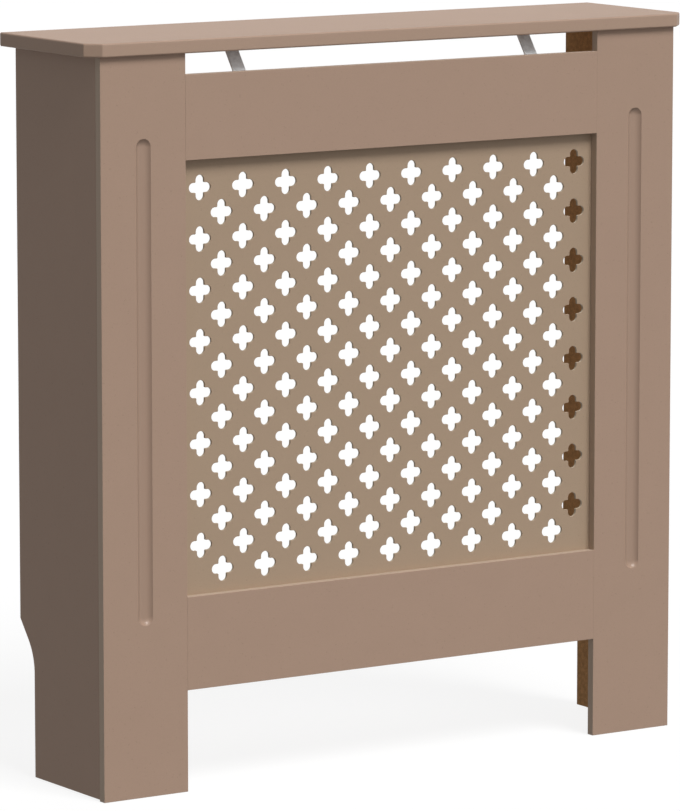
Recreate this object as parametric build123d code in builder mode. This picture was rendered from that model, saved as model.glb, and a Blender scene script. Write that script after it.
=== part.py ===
from build123d import *

import os
from math import radians, tan

# A radiator cover cabinet in raw MDF. Millimetres. The origin is on the floor under the middle of the
# shelf: +X runs to the right along the front, the front faces -Y, the wall is at +Y and +Z is up.

# ---- Driving dimensions --------------------------------------------------------------------------

# Overall
width = 780.0
depth = 190.0
height = 815.0

# Shelf
shelf_thickness = 15.0
shelf_corner_cut = 15.0
shelf_corner_radius = 3.0
shelf_edge_radius = 2.0
shelf_side_overhang = 15.0
shelf_front_overhang = 6.0

# Side panels, which stop short of the wall and of the floor
side_thickness = 22.0
side_wall_gap = 6.5
side_floor_gap = 2.0
board_edge_radius = 0.8

# Cut-out for the skirting board: straight up, then a curve that leaves at a slant to the back edge
skirting_depth = 30.0
skirting_straight = 117.0
skirting_curve_radius = 57.0
skirting_slant = 39.0

# Front frame
front_thickness = 10.0
stile_width = 105.5
air_gap = 23.0
upper_rail_width = 91.5
lower_rail_width = 102.0
foot_space = 111.5

# Flute in each stile, cut with a wide round-nosed cutter
flute_width = 18.4
flute_depth = 4.0
flute_overrun = 26.0

# Lattice sheet and its crossed slots
lattice_thickness = 3.0
lattice_overlap = 20.0
lattice_column_step = 27.3
lattice_row_step = 27.7
lattice_side_border = 9.0
lattice_end_border = 12.0
lattice_drop = 2.9
cross_length = 27.6
cross_arm_width = 10.7
cross_notch_radius = 1.0

# Steel straps from the upper rail to the shelf
strap_inset = 78.5
strap_width = 16.0
strap_thickness = 2.0
strap_bend_radius = 3.0
strap_slant = 35.8
strap_bend_below_rail_top = 9.5
strap_rail_leg = 40.0
strap_shelf_leg = 34.0
strap_hole_from_end = 9.0
strap_hole_step = 17.0

# Steel angles that tie the cover to the wall
bracket_height = 40.0
bracket_thickness = 2.0
bracket_bend_radius = 2.0
bracket_side_leg = 40.0
bracket_wall_leg = 22.0
bracket_below_top = 80.0
bracket_screw_from_end = 9.0
bracket_screw_step = 20.0
wall_hole_radius = 2.5
wall_hole_from_end = 9.0

# Plastic joint blocks between stile and side panel
block_length = 34.0
block_size = 18.0
block_wall = 5.0
block_corner_radius = 4.0
block_bore_radius = 4.0
block_screw_step = 20.0
block_low_end = 150.0
block_top_end = 44.0
blocks_per_side = 3

# Cam fittings and dowels
cam_radius = 7.5
cam_thickness = 12.5
cam_axis_depth = 8.0
cam_slot_width = 7.0
cam_slot_behind_centre = 4.0
cam_turn_slot_length = 9.0
cam_turn_slot_width = 1.5
cam_turn_slot_depth = 1.5
cam_distance = 24.0
cam_bolt_thread_radius = 3.0
cam_bolt_thread_length = 11.0
cam_bolt_collar_radius = 3.9
cam_bolt_collar_height = 1.5
cam_bolt_shank_radius = 2.5
cam_bolt_neck_radius = 1.8
cam_bolt_neck_length = 3.0
cam_bolt_head_radius = 3.0
cam_bolt_head_length = 3.0
cam_from_front = 26.0
cam_step = 76.0
dowel_radius = 4.0
dowel_length = 30.0
dowel_chamfer = 1.0
dowel_in_shelf = 10.0
dowel_in_stile = 7.0
shelf_dowel_from_front = 64.0
shelf_dowel_step = 82.0
front_dowel_end_distance = 90.0
front_dowels_per_side = 3
rail_dowel_radius = 3.0
rail_dowel_length = 40.0
rail_dowel_edge_distance = 22.0

# Pan head screws: shank radius, length under the head, head radius, head height
screw_shank_radius = 1.75
screw_head_radius = 3.5
screw_head_height = 2.4
screw_recess_width = 1.0
screw_recess_length = 3.8
screw_recess_depth = 1.3
strap_rail_screw_length = 9.5
strap_shelf_screw_length = 13.0
block_stile_screw_length = 13.0
block_panel_screw_length = 16.0
bracket_screw_length = 16.0
lattice_screw_shank_radius = 1.5
lattice_screw_head_radius = 2.8
lattice_screw_head_height = 2.0
lattice_screw_length = 9.0
lattice_screw_from_edge = 10.0
lattice_screws_per_rail = 4
lattice_screws_per_stile = 3

# Nail-in glides under the side panels
glide_radius = 7.0
glide_chamfer = 0.5
glide_pin_radius = 1.5
glide_pin_length = 12.0
glide_from_front = 25.0
glide_from_skirting = 15.0

# Clearances
bore_clearance = 0.1
screw_hole_clearance = 0.4
bore_end_room = 1.0
screw_end_room = 0.5

# ---- Places worked out from them -----------------------------------------------------------------

wall_y = depth / 2
shelf_front_y = -depth / 2
front_y = shelf_front_y + shelf_front_overhang
frame_back_y = front_y + front_thickness
frame_middle_y = front_y + front_thickness / 2
side_back_y = wall_y - side_wall_gap
skirting_y = side_back_y - skirting_depth

body_half = width / 2 - shelf_side_overhang
inner_half = body_half - side_thickness
side_middle = body_half - side_thickness / 2
opening_half = body_half - stile_width
strap_half = opening_half - strap_inset

board_top = height - shelf_thickness
upper_rail_top = board_top - air_gap
opening_top = upper_rail_top - upper_rail_width
opening_bottom = foot_space + lower_rail_width
block_bore_offset = block_size / 2

sides = {"left": -1, "right": 1}
standing = (Align.CENTER, Align.CENTER, Align.MIN)


def spread(first, last, count):
    """Evenly spaced values from first to last."""
    return [first + (last - first) * i / (count - 1) for i in range(count)]


def seat(x, y, z, along, x_dir=None):
    """A plane at a fastener's seat whose Z axis points the way the fastener is driven."""
    return Plane(origin=(x, y, z), x_dir=x_dir, z_dir=along)


# Seats of the fasteners. Each list is used to drill the pieces and to place the fasteners.
strap_bend_z = upper_rail_top - strap_bend_below_rail_top
strap_low_z = strap_bend_z - strap_rail_leg
strap_top_y = frame_back_y + (board_top - strap_bend_z) * tan(radians(strap_slant))
strap_back_y = strap_top_y + strap_shelf_leg
strap_holes_from_end = (strap_hole_from_end, strap_hole_from_end + strap_hole_step)
strap_rail_seats = [
    seat(side * strap_half, frame_back_y + strap_thickness, strap_low_z + from_end, (0, -1, 0))
    for side in sides.values()
    for from_end in strap_holes_from_end
]
strap_shelf_seats = [
    seat(side * strap_half, strap_back_y - from_end, board_top - strap_thickness, (0, 0, 1))
    for side in sides.values()
    for from_end in strap_holes_from_end
]
bracket_middle_z = board_top - bracket_below_top
bracket_heights = (bracket_middle_z - bracket_screw_step / 2, bracket_middle_z + bracket_screw_step / 2)
block_heights = spread(block_low_end, board_top - block_top_end, blocks_per_side)
front_dowel_top = board_top - front_dowel_end_distance
front_dowel_heights = spread(front_dowel_end_distance, front_dowel_top, front_dowels_per_side)
cam_places = [frame_back_y + cam_from_front + cam_step * i for i in range(2)]
shelf_dowel_places = [frame_back_y + shelf_dowel_from_front + shelf_dowel_step * i for i in range(2)]
glide_places = (frame_back_y + glide_from_front, skirting_y - glide_from_skirting)
lattice_screw_across = spread(-strap_half, strap_half, lattice_screws_per_rail)
lattice_screw_up = spread(opening_bottom, opening_top, lattice_screws_per_stile + 2)[1:-1]
lattice_seats = [
    seat(x, frame_back_y + lattice_thickness, z, (0, -1, 0))
    for z in (opening_bottom - lattice_screw_from_edge, opening_top + lattice_screw_from_edge)
    for x in lattice_screw_across
] + [
    seat(x, frame_back_y + lattice_thickness, z, (0, -1, 0))
    for x in (-opening_half - lattice_screw_from_edge, opening_half + lattice_screw_from_edge)
    for z in lattice_screw_up
]


def cam_planes(side):
    """Centres of one side panel's cams on its inner face, X towards the shelf and Z into the panel."""
    return [seat(side * inner_half, y, board_top - cam_distance, (side, 0, 0), (0, 0, 1)) for y in cam_places]


def cam_bolt_planes(side):
    """Seats of one side's cam bolts on the underside of the shelf."""
    return [seat(side * (inner_half + cam_axis_depth), y, board_top, (0, 0, 1)) for y in cam_places]


def shelf_dowel_planes(side):
    """Places of one side's shelf dowels on the underside of the shelf."""
    return [seat(side * side_middle, y, board_top, (0, 0, 1)) for y in shelf_dowel_places]


def front_dowel_planes(side):
    """Places of one side's front dowels on the back of the stile, Z towards the front."""
    return [seat(side * side_middle, frame_back_y, z, (0, -1, 0)) for z in front_dowel_heights]


def rail_dowel_planes(side):
    """Places of the rail dowels on one stile's inner edge, Z into the stile."""
    heights = (
        foot_space + rail_dowel_edge_distance,
        opening_bottom - rail_dowel_edge_distance,
        opening_top + rail_dowel_edge_distance,
        upper_rail_top - rail_dowel_edge_distance,
    )
    return [seat(side * opening_half, frame_middle_y, z, (side, 0, 0)) for z in heights]


def block_panel_seats(side):
    """Seats of the screws that hold one side's blocks to the side panel."""
    return [
        seat(side * (inner_half - block_wall), frame_back_y + block_bore_offset, z + dz, (side, 0, 0))
        for z in block_heights
        for dz in (-block_screw_step / 2, block_screw_step / 2)
    ]


def block_stile_seats(side):
    """Seats of the screws that hold one side's blocks to the stile."""
    return [
        seat(side * (inner_half - block_bore_offset), frame_back_y + block_wall, z, (0, -1, 0))
        for z in block_heights
    ]


def bracket_seats(side):
    """Seats of the screws that hold one wall bracket to the side panel."""
    y = wall_y - bracket_side_leg + bracket_screw_from_end
    return [seat(side * (inner_half - bracket_thickness), y, z, (side, 0, 0)) for z in bracket_heights]


def glide_planes(side):
    """Places of one side's glides on the bottom edge of the side panel, Z up into the panel."""
    return [seat(side * side_middle, y, side_floor_gap, (0, 0, 1)) for y in glide_places]


def drill(planes, radius, ahead=0.0, behind=0.0):
    """Cuts round holes from the part being built, reaching ahead of each plane and behind it."""
    with Locations(*[plane.offset(-behind) for plane in planes]):
        Cylinder(radius, ahead + behind, align=standing, mode=Mode.SUBTRACT)


def drill_for_screws(planes, length, radius=screw_shank_radius):
    """Cuts the pilot holes of screws of the given length under the head."""
    drill(planes, radius + bore_clearance, length + screw_end_room)


def place(template, planes):
    """Adds a copy of a finished solid at each plane to the part being built."""
    with Locations(*planes):
        add(template)


def finish(piece, name):
    """Labels a finished piece and writes its file."""
    piece.label = name
    export_step(piece, f"parts/{name}.step")


# ---- Boards --------------------------------------------------------------------------------------


def make_top_shelf():
    with BuildPart() as shelf:
        with BuildSketch(Plane.XY.offset(board_top)):
            with BuildLine():
                FilletPolyline(
                    (-width / 2, wall_y),
                    (-width / 2, shelf_front_y + shelf_corner_cut),
                    (-width / 2 + shelf_corner_cut, shelf_front_y),
                    (width / 2 - shelf_corner_cut, shelf_front_y),
                    (width / 2, shelf_front_y + shelf_corner_cut),
                    (width / 2, wall_y),
                    radius=shelf_corner_radius,
                )
                Line((width / 2, wall_y), (-width / 2, wall_y))
            make_face()
        extrude(amount=shelf_thickness)
        rims = shelf.edges().filter_by(Plane.XY)
        rims -= rims.filter_by_position(Axis.Y, wall_y, wall_y)
        fillet(rims, shelf_edge_radius)
        for side in sides.values():
            thread_bore = cam_bolt_thread_radius + bore_clearance
            drill(cam_bolt_planes(side), thread_bore, cam_bolt_thread_length + bore_end_room)
            drill(shelf_dowel_planes(side), dowel_radius + bore_clearance, dowel_in_shelf + bore_clearance)
        drill_for_screws(strap_shelf_seats, strap_shelf_screw_length)
    return shelf.part


def make_side_panel(side):
    with BuildPart() as panel:
        with BuildSketch(Plane.YZ.offset(side * side_middle)):
            with BuildLine():
                bottom = Line((frame_back_y, side_floor_gap), (skirting_y, side_floor_gap))
                upright = Line(bottom @ 1, (skirting_y, skirting_straight))
                curve = JernArc(upright @ 1, (0, 1), skirting_curve_radius, -skirting_slant)
                slant_rise = (side_back_y - (curve @ 1).X) / tan(radians(skirting_slant))
                Polyline(
                    curve @ 1,
                    (side_back_y, (curve @ 1).Y + slant_rise),
                    (side_back_y, board_top),
                    (frame_back_y, board_top),
                    bottom @ 0,
                )
            make_face()
        extrude(amount=side_thickness / 2, both=True)
        rims = panel.edges().filter_by(Plane.YZ)
        for axis, value in ((Axis.Y, frame_back_y), (Axis.Z, board_top), (Axis.Z, side_floor_gap)):
            rims -= rims.filter_by_position(axis, value, value)
        fillet(rims, board_edge_radius)
        bore = dowel_radius + bore_clearance
        drill(cam_planes(side), cam_radius + bore_clearance, cam_thickness + bore_clearance)
        drill(cam_bolt_planes(side), cam_bolt_collar_radius + bore_clearance, behind=cam_distance)
        drill(shelf_dowel_planes(side), bore, behind=dowel_length - dowel_in_shelf + bore_end_room)
        drill(front_dowel_planes(side), bore, behind=dowel_length - dowel_in_stile + bore_end_room)
        drill_for_screws(block_panel_seats(side), block_panel_screw_length)
        drill_for_screws(bracket_seats(side), bracket_screw_length)
        drill(glide_planes(side), glide_pin_radius + bore_clearance, glide_pin_length + bore_end_room)
    return panel.part


def make_stile(side):
    cutter_radius = (flute_width**2 / 4 + flute_depth**2) / (2 * flute_depth)
    cutter_y = front_y + flute_depth - cutter_radius
    flute_x = side * (opening_half + stile_width / 2)
    flute_low = opening_bottom - flute_overrun + flute_width / 2
    flute_high = opening_top + flute_overrun - flute_width / 2
    with BuildPart() as stile:
        with BuildSketch(Plane.XY):
            with Locations((flute_x, frame_middle_y)):
                Rectangle(stile_width, front_thickness)
        extrude(amount=board_top)
        fillet(stile.edges(), board_edge_radius)
        with Locations((flute_x, cutter_y, (flute_low + flute_high) / 2)):
            Cylinder(cutter_radius, flute_high - flute_low, mode=Mode.SUBTRACT)
        with Locations((flute_x, cutter_y, flute_low), (flute_x, cutter_y, flute_high)):
            Sphere(cutter_radius, mode=Mode.SUBTRACT)
        drill(front_dowel_planes(side), dowel_radius + bore_clearance, dowel_in_stile + bore_clearance)
        rail_bore = rail_dowel_radius + bore_clearance
        drill(rail_dowel_planes(side), rail_bore, (rail_dowel_length + bore_end_room) / 2)
        drill_for_screws(block_stile_seats(side), block_stile_screw_length)
        drill_for_screws(lattice_seats, lattice_screw_length, lattice_screw_shank_radius)
    return stile.part


def make_rail(low, high):
    with BuildPart() as rail:
        with BuildSketch(Plane.XY.offset(low)):
            with Locations((0, frame_middle_y)):
                Rectangle(2 * opening_half, front_thickness)
        extrude(amount=high - low)
        fillet(rail.edges(), board_edge_radius)
        rail_bore = rail_dowel_radius + bore_clearance
        for side in sides.values():
            drill(rail_dowel_planes(side), rail_bore, behind=(rail_dowel_length + bore_end_room) / 2)
        drill_for_screws(lattice_seats, lattice_screw_length, lattice_screw_shank_radius)
        drill_for_screws(strap_rail_seats, strap_rail_screw_length)
    return rail.part


def make_cross():
    """One opening of the lattice: two crossed round-ended slots with softened inner corners."""
    with BuildSketch() as cross:
        SlotOverall(cross_length, cross_arm_width)
        SlotOverall(cross_length, cross_arm_width, rotation=90)
        inner = cross.vertices().sort_by_distance((0, 0))[:4]
        fillet(inner, cross_notch_radius)
    return cross.sketch


def lattice_centres():
    """Centres of the openings: every other place of a fine grid, counted from the top left."""
    side_steps = int((opening_half - lattice_side_border - cross_length / 2) / lattice_column_step)
    opening_height = opening_top - opening_bottom
    row_steps = int((opening_height - 2 * lattice_end_border - cross_length) / lattice_row_step)
    middle_z = (opening_top + opening_bottom) / 2 - lattice_drop
    top_z = middle_z + row_steps * lattice_row_step / 2
    return [
        ((column - side_steps) * lattice_column_step, top_z - row * lattice_row_step)
        for column in range(2 * side_steps + 1)
        for row in range(row_steps + 1)
        if (column + row) % 2 == 0
    ]


def make_lattice_panel():
    front_plane = Plane.XZ.offset(-frame_back_y)
    sheet_width = 2 * (opening_half + lattice_overlap)
    sheet_height = opening_top - opening_bottom + 2 * lattice_overlap
    with BuildSketch(front_plane) as blank:
        with Locations((0, (opening_top + opening_bottom) / 2)):
            Rectangle(sheet_width, sheet_height)
    with BuildSketch(front_plane) as openings:
        with Locations(*lattice_centres()):
            add(make_cross())
        with Locations(*[(plane.origin.X, plane.origin.Z) for plane in lattice_seats]):
            Circle(lattice_screw_shank_radius + screw_hole_clearance)
    # One face with all the openings as inner wires, because so many cuts from a solid are slow.
    inner_wires = [opening.outer_wire() for opening in openings.sketch.faces()]
    pierced = Face(blank.sketch.face().outer_wire(), inner_wires)
    with BuildPart() as sheet:
        extrude(pierced, amount=lattice_thickness, dir=(0, 1, 0))
    return sheet.part


# ---- Steel parts ---------------------------------------------------------------------------------


def make_shelf_strap(side):
    """Flat strap bent twice: down the back of the rail, back at a slant, and under the shelf."""
    with BuildPart() as strap:
        with BuildSketch(Plane.YZ.offset(side * strap_half)):
            with BuildLine():
                FilletPolyline(
                    (frame_back_y, strap_low_z),
                    (frame_back_y, strap_bend_z),
                    (strap_top_y, board_top),
                    (strap_back_y, board_top),
                    radius=strap_bend_radius + strap_thickness,
                )
                offset(amount=strap_thickness, side=Side.RIGHT)
            make_face()
        extrude(amount=strap_width / 2, both=True)
        hole_radius = screw_shank_radius + screw_hole_clearance
        drill(strap_rail_seats + strap_shelf_seats, hole_radius, strap_thickness)
    return strap.part


def make_wall_bracket(side):
    """Steel angle: one leg on the side panel's inner face, the other flat on the wall."""
    face_x = side * inner_half
    with BuildPart() as bracket:
        with BuildSketch(Plane.XY.offset(bracket_middle_z)):
            with BuildLine():
                FilletPolyline(
                    (face_x, wall_y - bracket_side_leg),
                    (face_x, wall_y),
                    (face_x - side * bracket_wall_leg, wall_y),
                    radius=bracket_bend_radius + bracket_thickness,
                )
                offset(amount=bracket_thickness, side=Side.LEFT if side > 0 else Side.RIGHT)
            make_face()
        extrude(amount=bracket_height / 2, both=True)
        drill(bracket_seats(side), screw_shank_radius + screw_hole_clearance, bracket_thickness)
        wall_hole = seat(
            face_x - side * (bracket_wall_leg - wall_hole_from_end), wall_y, bracket_middle_z, (0, -1, 0)
        )
        drill([wall_hole], wall_hole_radius, bracket_thickness)
    return bracket.part


# ---- Fittings and fasteners ----------------------------------------------------------------------


def make_corner_blocks(side):
    """Plastic blocks with two bores towards the side panel and one towards the stile."""
    with BuildPart() as blocks:
        for z in block_heights:
            with BuildSketch(Plane.XY.offset(z)):
                with Locations((side * (inner_half - block_size / 2), frame_back_y + block_size / 2)):
                    Rectangle(block_size, block_size)
            extrude(amount=block_length / 2, both=True)
        free_edges = [
            edge
            for edge in blocks.edges().filter_by(Axis.Z)
            if abs(edge.center().X) < inner_half - block_wall and edge.center().Y > frame_back_y + block_wall
        ]
        fillet(free_edges, block_corner_radius)
        for planes in (block_panel_seats(side), block_stile_seats(side)):
            drill(planes, block_bore_radius, behind=block_size)
            drill(planes, screw_shank_radius + screw_hole_clearance, block_wall)
    return blocks.part


def pan_head_screw(length, shank_radius, head_radius, head_height):
    """A screw along Z: the head's seat at Z 0, the shank above it and a crossed recess in the head."""
    shoulder = head_height / 2
    with BuildPart() as screw:
        with BuildSketch(Plane.XZ):
            with BuildLine():
                Polyline(
                    (0, -head_height),
                    (head_radius / 2, -head_height),
                )
                RadiusArc((head_radius / 2, -head_height), (head_radius, -shoulder), -shoulder * 2)
                Polyline(
                    (head_radius, -shoulder),
                    (head_radius, 0),
                    (shank_radius, 0),
                    (shank_radius, length - shank_radius),
                    (0, length),
                    (0, -head_height),
                )
            make_face()
        revolve(axis=Axis.Z)
        with BuildSketch(Plane.XY.offset(-head_height)):
            Rectangle(screw_recess_length, screw_recess_width)
            Rectangle(screw_recess_width, screw_recess_length)
        extrude(amount=screw_recess_depth, mode=Mode.SUBTRACT)
    return screw.part


def make_screws(planes, length, shank_radius=screw_shank_radius, head=(screw_head_radius, screw_head_height)):
    template = pan_head_screw(length, shank_radius, *head)
    with BuildPart() as screws:
        place(template, planes)
    return screws.part


def dowel(radius, length, start):
    """A chamfered dowel along Z that begins at the given height."""
    with BuildPart() as pin:
        with BuildSketch(Plane.XY.offset(start)):
            Circle(radius)
        extrude(amount=length)
        chamfer(pin.edges().filter_by(GeomType.CIRCLE), dowel_chamfer)
    return pin.part


def make_dowels(planes, radius, length, start):
    template = dowel(radius, length, start)
    with BuildPart() as dowels:
        place(template, planes)
    return dowels.part


def cam_bolt():
    """A cam bolt along Z: thread above Z 0, then collar, shank, neck and head below it."""
    head_top = -cam_distance + cam_bolt_head_length / 2
    neck_top = head_top + cam_bolt_neck_length
    sections = (
        (cam_bolt_thread_radius, 0, cam_bolt_thread_length),
        (cam_bolt_collar_radius, -cam_bolt_collar_height, 0),
        (cam_bolt_shank_radius, neck_top, -cam_bolt_collar_height),
        (cam_bolt_neck_radius, head_top, neck_top),
        (cam_bolt_head_radius, head_top - cam_bolt_head_length, head_top),
    )
    with BuildPart() as bolt:
        for radius, low, high in sections:
            with BuildSketch(Plane.XY.offset(low)):
                Circle(radius)
            extrude(amount=high - low)
    return bolt.part


def make_cam_bolts():
    template = cam_bolt()
    with BuildPart() as bolts:
        for side in sides.values():
            place(template, cam_bolt_planes(side))
    return bolts.part


def cam_lock():
    """A cam: a disc above Z 0, open along +X for the bolt, with a crossed recess in its face at Z 0."""
    with BuildPart() as cam:
        with BuildSketch(Plane.XY):
            Circle(cam_radius)
        extrude(amount=cam_thickness)
        with Locations((-cam_slot_behind_centre, 0, cam_axis_depth)):
            Box(
                cam_slot_behind_centre + cam_radius,
                cam_slot_width,
                cam_slot_width,
                align=(Align.MIN, Align.CENTER, Align.CENTER),
                mode=Mode.SUBTRACT,
            )
        with BuildSketch(Plane.XY):
            Rectangle(cam_turn_slot_length, cam_turn_slot_width)
            Rectangle(cam_turn_slot_width, cam_turn_slot_length)
        extrude(amount=cam_turn_slot_depth, mode=Mode.SUBTRACT)
    return cam.part


def make_cam_locks():
    template = cam_lock()
    with BuildPart() as cams:
        for side in sides.values():
            place(template, cam_planes(side))
    return cams.part


def make_floor_glides(side):
    """Nail-in glides: a thin round foot that fills the gap under the panel, and its pin."""
    with BuildPart() as glides:
        for plane in glide_planes(side):
            with Locations(plane.offset(-side_floor_gap)):
                Cylinder(glide_radius, side_floor_gap, align=standing)
        chamfer(glides.edges().group_by(Axis.Z)[0], glide_chamfer)
        for plane in glide_planes(side):
            with Locations(plane):
                Cylinder(glide_pin_radius, glide_pin_length, align=standing)
    return glides.part


# ---- The pieces ----------------------------------------------------------------------------------

pieces = {
    "top_shelf": make_top_shelf(),
    "upper_rail": make_rail(opening_top, upper_rail_top),
    "lower_rail": make_rail(foot_space, opening_bottom),
    "lattice_panel": make_lattice_panel(),
    "strap_rail_screws": make_screws(strap_rail_seats, strap_rail_screw_length),
    "strap_shelf_screws": make_screws(strap_shelf_seats, strap_shelf_screw_length),
    "lattice_screws": make_screws(
        lattice_seats,
        lattice_screw_length,
        lattice_screw_shank_radius,
        (lattice_screw_head_radius, lattice_screw_head_height),
    ),
    "shelf_cam_bolts": make_cam_bolts(),
    "shelf_cam_locks": make_cam_locks(),
}
both_sides = {
    "block_panel_screws": (block_panel_seats, block_panel_screw_length),
    "block_stile_screws": (block_stile_seats, block_stile_screw_length),
    "wall_bracket_screws": (bracket_seats, bracket_screw_length),
}
for name, (seats_of, length) in both_sides.items():
    pieces[name] = make_screws([plane for side in sides.values() for plane in seats_of(side)], length)
for name, planes_of, radius, length, start in (
    ("shelf_dowels", shelf_dowel_planes, dowel_radius, dowel_length, dowel_in_shelf - dowel_length),
    ("front_dowels", front_dowel_planes, dowel_radius, dowel_length, dowel_in_stile - dowel_length),
    ("rail_dowels", rail_dowel_planes, rail_dowel_radius, rail_dowel_length, -rail_dowel_length / 2),
):
    planes = [plane for side in sides.values() for plane in planes_of(side)]
    pieces[name] = make_dowels(planes, radius, length, start)
for side_name, side in sides.items():
    pieces[f"{side_name}_side_panel"] = make_side_panel(side)
    pieces[f"{side_name}_stile"] = make_stile(side)
    pieces[f"{side_name}_shelf_strap"] = make_shelf_strap(side)
    pieces[f"{side_name}_wall_bracket"] = make_wall_bracket(side)
    pieces[f"{side_name}_corner_blocks"] = make_corner_blocks(side)
    pieces[f"{side_name}_floor_glides"] = make_floor_glides(side)

os.makedirs("parts", exist_ok=True)
for name, piece in pieces.items():
    finish(piece, name)
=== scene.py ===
"""Radiator cover cabinet in raw fibreboard: the looks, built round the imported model. Metres."""

import math

import bmesh
import bpy
from mathutils import Euler, Matrix, Vector


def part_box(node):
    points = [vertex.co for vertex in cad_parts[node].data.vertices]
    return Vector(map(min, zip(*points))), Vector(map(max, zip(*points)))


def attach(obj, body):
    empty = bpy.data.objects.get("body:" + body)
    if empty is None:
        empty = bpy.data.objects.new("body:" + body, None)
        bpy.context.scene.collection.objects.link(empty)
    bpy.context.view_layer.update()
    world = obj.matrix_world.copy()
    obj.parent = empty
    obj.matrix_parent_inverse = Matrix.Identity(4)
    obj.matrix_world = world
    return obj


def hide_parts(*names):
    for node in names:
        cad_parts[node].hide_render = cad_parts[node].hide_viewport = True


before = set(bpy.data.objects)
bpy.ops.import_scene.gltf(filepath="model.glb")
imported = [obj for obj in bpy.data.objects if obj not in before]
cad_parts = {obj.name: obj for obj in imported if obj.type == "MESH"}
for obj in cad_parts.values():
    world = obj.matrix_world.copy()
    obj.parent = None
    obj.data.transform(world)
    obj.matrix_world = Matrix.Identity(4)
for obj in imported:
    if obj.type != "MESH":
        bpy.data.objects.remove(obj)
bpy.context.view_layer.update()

mm = 0.001
sides = {"left": -1, "right": 1}

# ---- Camera, lamps and floor ---------------------------------------------------------------------
# Angles are in degrees.

camera_place = (-3.3904, -5.1377, 1.3015)
camera_yaw = 33.306
camera_pitch = 8.430
camera_lens = 248.72

white = (1.0, 1.0, 1.0)
ambient_strength = 0.19
backdrop_strength = 1.0
suns = {
    "key": {"strength": 3.0, "angle": 28.0, "direction": (0.08, -0.60, 0.79), "is_mirrored": True},
    "front_fill": {"strength": 0.88, "angle": 90.0, "direction": (0.15, -0.97, 0.0), "is_mirrored": False},
    "back_fill": {"strength": 0.9, "angle": 40.0, "direction": (0.50, 0.80, 0.20), "is_mirrored": False},
}
floor_half = 12.0
floor_level = -0.2 * mm
floor_glow = 0.25
floor_shadow_share = 0.13


def new_tree(owner):
    owner.use_nodes = True
    owner.node_tree.nodes.clear()
    return owner.node_tree


def set_input(tree, socket, value):
    if isinstance(value, bpy.types.NodeSocket):
        tree.links.new(value, socket)
    else:
        socket.default_value = value


def put(tree, kind, inputs, **settings):
    """Adds a node. inputs maps a socket's name or number to a value or to another node's output."""
    made = tree.nodes.new(kind)
    for name, value in settings.items():
        setattr(made, name, value)
    for name, value in inputs.items():
        set_input(tree, made.inputs[name], value)
    return made


def rgba(colour):
    return (*colour, 1.0)


def seen_directly(tree):
    """1 for camera, glossy and transmission rays, 0 for the rays that light the object."""
    rays = put(tree, "ShaderNodeLightPath", {}).outputs
    seen = rays["Is Camera Ray"]
    for other in ("Is Glossy Ray", "Is Transmission Ray"):
        seen = put(tree, "ShaderNodeMath", {0: seen, 1: rays[other]}, operation="MAXIMUM").outputs[0]
    return seen


def lit_and_seen(tree, lighting, shown):
    """Lights the object as one shader node does, and is seen as another is."""
    inputs = {0: seen_directly(tree), 1: lighting.outputs[0], 2: shown.outputs[0]}
    return put(tree, "ShaderNodeMixShader", inputs).outputs[0]


def make_camera():
    data = bpy.data.cameras.new("camera")
    data.lens = camera_lens
    camera = bpy.data.objects.new("camera", data)
    camera.location = camera_place
    camera.rotation_euler = Euler((math.radians(90 - camera_pitch), 0, -math.radians(camera_yaw)))
    bpy.context.scene.collection.objects.link(camera)
    bpy.context.scene.camera = camera


def make_world():
    """Weak white light from all round, seen as a white backdrop."""
    world = bpy.data.worlds.new("studio")
    tree = new_tree(world)
    ambient = put(tree, "ShaderNodeBackground", {"Color": rgba(white), "Strength": ambient_strength})
    backdrop = put(tree, "ShaderNodeBackground", {"Color": rgba(white), "Strength": backdrop_strength})
    put(tree, "ShaderNodeOutputWorld", {"Surface": lit_and_seen(tree, ambient, backdrop)})
    bpy.context.scene.world = world


def make_sun(name, strength, angle, direction, is_mirrored):
    """A soft sun. The fills aren't mirrored, so that they leave no glare on the shelf."""
    data = bpy.data.lights.new(name, "SUN")
    data.energy = strength
    data.angle = math.radians(angle)
    light = bpy.data.objects.new(name, data)
    light.rotation_euler = Vector(direction).to_track_quat("Z", "Y").to_euler()
    light.visible_glossy = is_mirrored
    bpy.context.scene.collection.objects.link(light)


def make_floor():
    """A white floor that keeps a light shadow and lights the object as evenly as the world does."""
    mesh = bpy.data.meshes.new("floor")
    signs = [(-1, -1), (1, -1), (1, 1), (-1, 1)]
    rim = [(x * floor_half, y * floor_half, floor_level) for x, y in signs]
    mesh.from_pydata(rim, [], [(0, 1, 2, 3)])
    floor = bpy.data.objects.new("floor", mesh)
    bpy.context.scene.collection.objects.link(floor)
    material = bpy.data.materials.new("floor")
    tree = new_tree(material)
    shadowed = put(tree, "ShaderNodeBsdfDiffuse", {"Color": rgba(white)})
    plain = put(tree, "ShaderNodeEmission", {"Color": rgba(white), "Strength": backdrop_strength})
    shares = {0: floor_shadow_share, 1: plain.outputs[0], 2: shadowed.outputs[0]}
    shown = put(tree, "ShaderNodeMixShader", shares)
    glow = put(tree, "ShaderNodeEmission", {"Color": rgba(white), "Strength": floor_glow})
    put(tree, "ShaderNodeOutputMaterial", {"Surface": lit_and_seen(tree, glow, shown)})
    mesh.materials.append(material)


make_camera()
make_world()
for sun_name, sun in suns.items():
    make_sun(sun_name, **sun)
make_floor()
bpy.context.scene.view_settings.view_transform = "Standard"

# ---- Materials -----------------------------------------------------------------------------------
# Noise scales are in cycles per metre. Shades are factors on a material's own colour.

bump_strength = 0.5


def shade(colour, factor):
    return rgba([channel * factor for channel in colour])


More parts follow.
